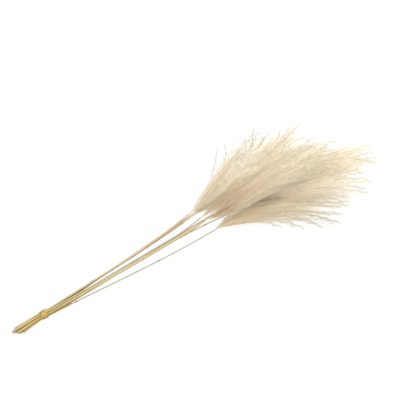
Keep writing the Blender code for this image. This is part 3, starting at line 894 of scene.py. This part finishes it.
def hair_along(stem, line, random):
    """How thick a raceme's hairs are, also at its tip, and how much more they stand off at its foot."""
    centre = np.array(stem.tip) * MM
    level = unit(centre - line[0])
    side = unit(np.cross(UP, level))
    share = np.dot(line[-1] - centre, side) / (stem.fan[0] * MM)
    along, tip, more_to_left = stem.fluff
    along = along * random.uniform(*BODY_RANGE) * (1 - max(0.0, stem.edge * min(1.0, share)))
    tip = float(np.clip(tip + more_to_left * share, LEAST_TIP, 1))
    return along, tip, stem.foot * max(0.0, share)


def stray_path(stem, stray):
    """A stray's middle: a plain curve from the rachis to its given end."""
    root = rachis_point(stem, stray.root)
    end = np.array(stray.end) * MM
    length = np.linalg.norm(end - root)
    arrive = head_direction(stray)
    leave = unit(head_direction(stem) + ROOT_ANGLE * unit(end - root))
    s = np.linspace(0, 1, LINE_POINTS)[:, None]
    return hermite(s, root, leave * length, end, arrive * length)


def make_plume(number, stem, paths, husk_surface):
    random = np.random.default_rng(LOOK_SEED + number)
    all_paths = np.concatenate([paths, between_paths(paths, random), beside_paths(paths, random)])
    lines = [crinkled(smooth_line(path, LINE_POINTS), 1.0, random) for path in all_paths]
    chaff, silk = Shell(), Shell()
    rachis = np.array([rachis_point(stem, share) for share in np.linspace(0, 1, RACHIS_POINTS)])
    rings = tube_corners(rachis, np.linspace(*RACHIS_RADIUS, RACHIS_POINTS), RACHIS_SIDES)
    chaff.add_rings(rings, (0, 1), (0, 0.1), turned=True)
    racemes = [(line, hair_along(stem, line, random), k < len(paths)) for k, line in enumerate(lines)]
    for stray in STRAYS:
        if stray.plume == number:
            line = crinkled(stray_path(stem, stray), stray.crinkle, random)
            racemes.append((line, (*stray.fluff, 0.0), True))
    for line, fluff, with_husks in racemes:
        add_stalk(chaff, line, random)
        husks = add_husks(chaff, line, with_husks, random)
        if with_husks:
            add_awns(chaff, husks, random)
        add_hairs(silk, husks, *fluff, random)
    chaff.piece(f"husks_{number}", husk_surface, [f"plume_{number}"], "silk")
    silk.piece(f"hairs_{number}", hair_material(number, stem), [f"plume_{number}"], "silk")


# The materials


class Nodes:
    """Short calls to build a material's nodes."""

    def __init__(self, name):
        self.material = bpy.data.materials.new(name)
        self.material.use_nodes = True
        self.tree = self.material.node_tree
        self.shader = self.tree.nodes["Principled BSDF"]
        self.output = self.tree.nodes["Material Output"]

    def feed(self, value, socket):
        """Links a socket to another one, or gives it a colour or a number."""
        if isinstance(value, bpy.types.NodeSocket):
            self.tree.links.new(value, socket)
        else:
            socket.default_value = (*value, 1) if isinstance(value, tuple) else value

    def add(self, kind, *first, **settings):
        """A new node with what goes into its first sockets. Its settings and other sockets go by name."""
        node = self.tree.nodes.new(kind)
        for value, socket in zip(first, node.inputs):
            self.feed(value, socket)
        for key, value in settings.items():
            if key in node.inputs:
                self.feed(value, node.inputs[key])
            else:
                setattr(node, key, value)
        return node

    def map_axes(self):
        """The place on the paint map, and its two parts apart."""
        place = self.add("ShaderNodeUVMap", uv_map=PAINT_MAP).outputs["UV"]
        split = self.add("ShaderNodeSeparateXYZ", place)
        return place, split.outputs[0], split.outputs[1]

    def set(self, **values):
        """Feeds the shader's own sockets, named with underscores for their spaces."""
        for name, value in values.items():
            self.feed(value, self.shader.inputs[name.replace("_", " ")])

    def ramp(self, source, stops):
        node = self.add("ShaderNodeValToRGB", source)
        elements = node.color_ramp.elements
        while len(elements) < len(stops):
            elements.new(0.5)
        for element, (place, colour) in zip(elements, stops):
            element.position = place
            element.color = (*colour, 1)
        return node.outputs[0]

    def noise(self, vector, scale, detail=2.0, stretch=(1, 1, 1)):
        mapping = self.add("ShaderNodeMapping", vector)
        mapping.inputs["Scale"].default_value = stretch
        node = self.add("ShaderNodeTexNoise", mapping.outputs[0], Scale=scale, Detail=detail)
        return node.outputs["Fac"]

    def between(self, source, low, high, to_low, to_high):
        """Turns low into to_low and high into to_high, and evenly between them."""
        return self.add("ShaderNodeMapRange", source, low, high, to_low, to_high).outputs[0]

    def mix(self, first, second, factor, blend="MIX"):
        node = self.add("ShaderNodeMix", data_type="RGBA", blend_type=blend)
        for value, place in ((factor, 0), (first, 6), (second, 7)):
            self.feed(value, node.inputs[place])
        return node.outputs[2]

    def times(self, first, second):
        return self.add("ShaderNodeMath", first, second, operation="MULTIPLY").outputs[0]

    def bump(self, height, strength, distance):
        node = self.add("ShaderNodeBump", Strength=strength, Distance=distance, Height=height)
        self.set(Normal=node.outputs[0])


def on_straw_ramp(mm):
    """Where an x in millimetres lies on the ramp of a culm's colours."""
    start, end = STRAW_RAMP
    return (mm * MM - start) / (end - start)


def straw_material(number, stem):
    """Dry sheaths, streaked along the culm, with a greyer bare culm above them, dark joints and pale pith."""
    made = Nodes(f"straw_{number}")
    grain = made.add("ShaderNodeAttribute", attribute_name="grain").outputs["Vector"]
    x = made.add("ShaderNodeSeparateXYZ", grain).outputs[2]
    _, _, place = made.map_axes()
    sheath_end = on_straw_ramp(stem.sheath_end)
    stops = [
        (0.0, (0.21, 0.165, 0.09)),
        (on_straw_ramp(9 - stem.butt), (0.27, 0.18, 0.045)),
        (on_straw_ramp(-22), (0.31, 0.205, 0.055)),
        (on_straw_ramp(10), (0.31, 0.23, 0.085)),
        (on_straw_ramp(70), (0.33, 0.275, 0.145)),
        (sheath_end - 0.02, (0.36, 0.295, 0.175)),
        (sheath_end + 0.01, stem.bare),
        (1.0, stem.bare),
    ]
    base = made.ramp(made.between(x, *STRAW_RAMP, 0, 1), stops)
    streaks = made.noise(grain, scale=3.2, detail=4.0, stretch=(1, 1, 9))
    patches = made.noise(grain, scale=1.0, detail=2.0, stretch=(0.5, 0.5, 30))
    colour = made.mix(base, (0.28, 0.21, 0.09), made.between(streaks, 0.5, 0.75, 0, 0.4))
    colour = made.mix(colour, (0.50, 0.42, 0.25), made.between(patches, 0.52, 0.75, 0, 0.4))
    core, end = MARK_REACH
    for joint in stem.joints:
        near = made.between(x, (joint - end) * MM, (joint - core) * MM, 0, 1)
        far = made.between(x, (joint + core) * MM, (joint + end) * MM, 1, 0)
        shade = 0.5 if joint > stem.sheath_end else 0.25
        colour = made.mix(colour, (0.13, 0.11, 0.05), made.between(made.times(near, far), 0, 1, 0, shade))
    pith_stops = [
        (0.0, (0.50, 0.45, 0.34)),
        (0.013, (0.44, 0.38, 0.27)),
        (0.016, (0.24, 0.19, 0.11)),
        (0.021, (0.24, 0.19, 0.11)),
    ]
    colour = made.mix(made.ramp(place, pith_stops), colour, made.between(place, 0.018, 0.022, 0, 1))
    roughness = made.between(streaks, 0.3, 0.7, 0.38, 0.6)
    made.set(Base_Color=colour, Roughness=roughness, Specular_IOR_Level=0.4)
    made.set(Emission_Color=colour, Emission_Strength=STRAW_INNER_LIGHT)
    made.bump(made.noise(grain, scale=9.0, detail=3.0, stretch=(1, 1, 3)), 0.35, 0.15 * MM)
    return made.material


def raffia_material():
    """Dry raffia: fibres along each strand, with deeper yellow patches."""
    made = Nodes("raffia")
    place, _, _ = made.map_axes()
    fibres = made.noise(place, scale=9.0, detail=4.0, stretch=(40, 1, 1))
    patches = made.noise(place, scale=5.0, detail=2.0, stretch=(4, 2, 1))
    stops = [(0.3, (0.22, 0.13, 0.03)), (0.5, (0.40, 0.27, 0.07)), (0.7, (0.54, 0.39, 0.13))]
    colour = made.ramp(fibres, stops)
    colour = made.mix(colour, (0.46, 0.31, 0.06), made.between(patches, 0.45, 0.7, 0, 0.6))
    made.set(Base_Color=colour, Roughness=made.between(fibres, 0.3, 0.7, 0.6, 0.42))
    made.bump(fibres, 0.5, 0.2 * MM)
    return made.material


def husk_material():
    """Husks and stalks: straw-coloured, with dark spots that thicken towards the tip of the raceme."""
    made = Nodes("husks")
    place, along, _ = made.map_axes()
    stops = [
        (0.0, (0.50, 0.43, 0.31)),
        (0.25, (0.64, 0.54, 0.37)),
        (0.6, (0.58, 0.50, 0.34)),
        (1.0, (0.44, 0.40, 0.27)),
    ]
    spots = made.noise(place, scale=40.0)
    spotted = made.times(made.between(spots, 0.5, 0.6, 0, 0.9), made.between(along, 0.35, 0.8, 0.1, 1))
    colour = made.mix(made.ramp(along, stops), (0.15, 0.14, 0.07), spotted)
    made.set(Base_Color=colour, Roughness=0.5)
    return made.material


def hair_material(number, stem):
    """Silky hairs: ivory towards the raceme's tip and darker towards its foot. Light passes through them."""
    made = Nodes(f"silk_hairs_{number}")
    place, along, _ = made.map_axes()
    # The foot colour stem.deep holds painted shade for the crevice under the upper plumes, darkest for plumes
    # 6 and 8, and it is held up to 0.13 along the raceme.
    stops = [
        (0.0, stem.deep),
        (0.13, stem.deep),
        (0.3, (0.71, 0.627, 0.50)),
        (0.4, (0.745, 0.672, 0.555)),
        (0.7, (0.83, 0.772, 0.665)),
        (1.0, (0.89, 0.855, 0.765)),
    ]
    # The plume's tint is partly painted light and shade: plumes 1, 2, 3 and 8 are made lighter, plumes 4 to 7
    # darker.
    colour = made.mix(made.ramp(along, stops), stem.shade, 1.0, "MULTIPLY")
    tufts = made.noise(place, scale=60.0)
    colour = made.mix(colour, (0.80, 0.74, 0.64), made.between(tufts, 0.45, 0.7, 0, 0.8), "MULTIPLY")
    made.set(Base_Color=colour, Roughness=0.55, Specular_IOR_Level=0.3)
    made.set(Emission_Color=colour, Emission_Strength=INNER_LIGHT)
    through = made.add("ShaderNodeBsdfTranslucent", colour).outputs[0]
    both = made.add("ShaderNodeMixShader", 0.5, made.shader.outputs[0], through).outputs[0]
    made.feed(both, made.output.inputs["Surface"])
    return made.material


# The stage


def make_floor():
    bpy.ops.mesh.primitive_plane_add(size=FLOOR_SIZE, location=(0, 0, 0))
    floor = bpy.context.object
    floor.name = "floor"
    made = Nodes("floor")
    made.set(Base_Color=FLOOR_COLOUR, Roughness=0.9, Specular_IOR_Level=0.0)
    made.set(Emission_Color=(1.0, 1.0, 1.0), Emission_Strength=FLOOR_GLOW)
    floor.data.materials.append(made.material)


def make_light():
    """A white sky, and one round softbox that faces the middle of the bundle."""
    world = bpy.data.worlds.new("studio")
    world.use_nodes = True
    sky = world.node_tree.nodes["Background"]
    sky.inputs["Color"].default_value = (1.0, 1.0, 1.0, 1)
    sky.inputs["Strength"].default_value = SKY_STRENGTH
    bpy.context.scene.world = world
    lamp = bpy.data.lights.new("softbox", "AREA")
    lamp.shape = "DISK"
    lamp.size = SOFTBOX_SIZE
    lamp.energy = SOFTBOX_POWER
    thing = put_in_scene("softbox", lamp)
    thing.location = SOFTBOX_PLACE
    thing.rotation_euler = (-Vector(SOFTBOX_PLACE)).to_track_quat("-Z", "Y").to_euler()
    bpy.context.scene.view_settings.view_transform = "Standard"


def make_camera():
    right = unit(np.array(VIEW_RIGHT))
    forward = np.array([-right[1], right[0], 0.0])
    back = -forward * math.cos(VIEW_RISE) + UP * math.sin(VIEW_RISE)
    up = np.cross(back, right)
    middle = np.array(VIEW_MIDDLE) * MM + TIE_PLACE
    camera = bpy.data.cameras.new("camera")
    camera.sensor_width = SENSOR
    camera.lens = SENSOR * VIEW_DISTANCE / (FRAME_MM * MM)
    camera.clip_end = CLIP_END
    thing = put_in_scene("camera", camera)
    turn = Matrix((right, up, back)).transposed().to_4x4()
    thing.matrix_world = Matrix.Translation(Vector(middle + back * VIEW_DISTANCE)) @ turn
    bpy.context.scene.camera = thing


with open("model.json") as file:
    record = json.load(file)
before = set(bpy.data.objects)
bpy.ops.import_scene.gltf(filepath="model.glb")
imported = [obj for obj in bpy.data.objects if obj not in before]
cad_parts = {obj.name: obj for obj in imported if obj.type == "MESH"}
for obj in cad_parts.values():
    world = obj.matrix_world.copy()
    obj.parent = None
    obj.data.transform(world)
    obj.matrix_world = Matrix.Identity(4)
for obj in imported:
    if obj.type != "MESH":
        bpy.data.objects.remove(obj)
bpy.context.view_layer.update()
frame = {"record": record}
TIE_PLACE = np.array(frame["record"]["mounts"][0]["pos_m"])

make_camera()
make_floor()
make_light()
husk_surface = husk_material()
paths, plumes = all_racemes()
paths = settle(paths, plumes)
for number, stem in enumerate(STEMS):
    make_culm(number + 1, stem)
    make_plume(number + 1, stem, paths[plumes == number], husk_surface)
make_tie()

bpy.context.view_layer.update()
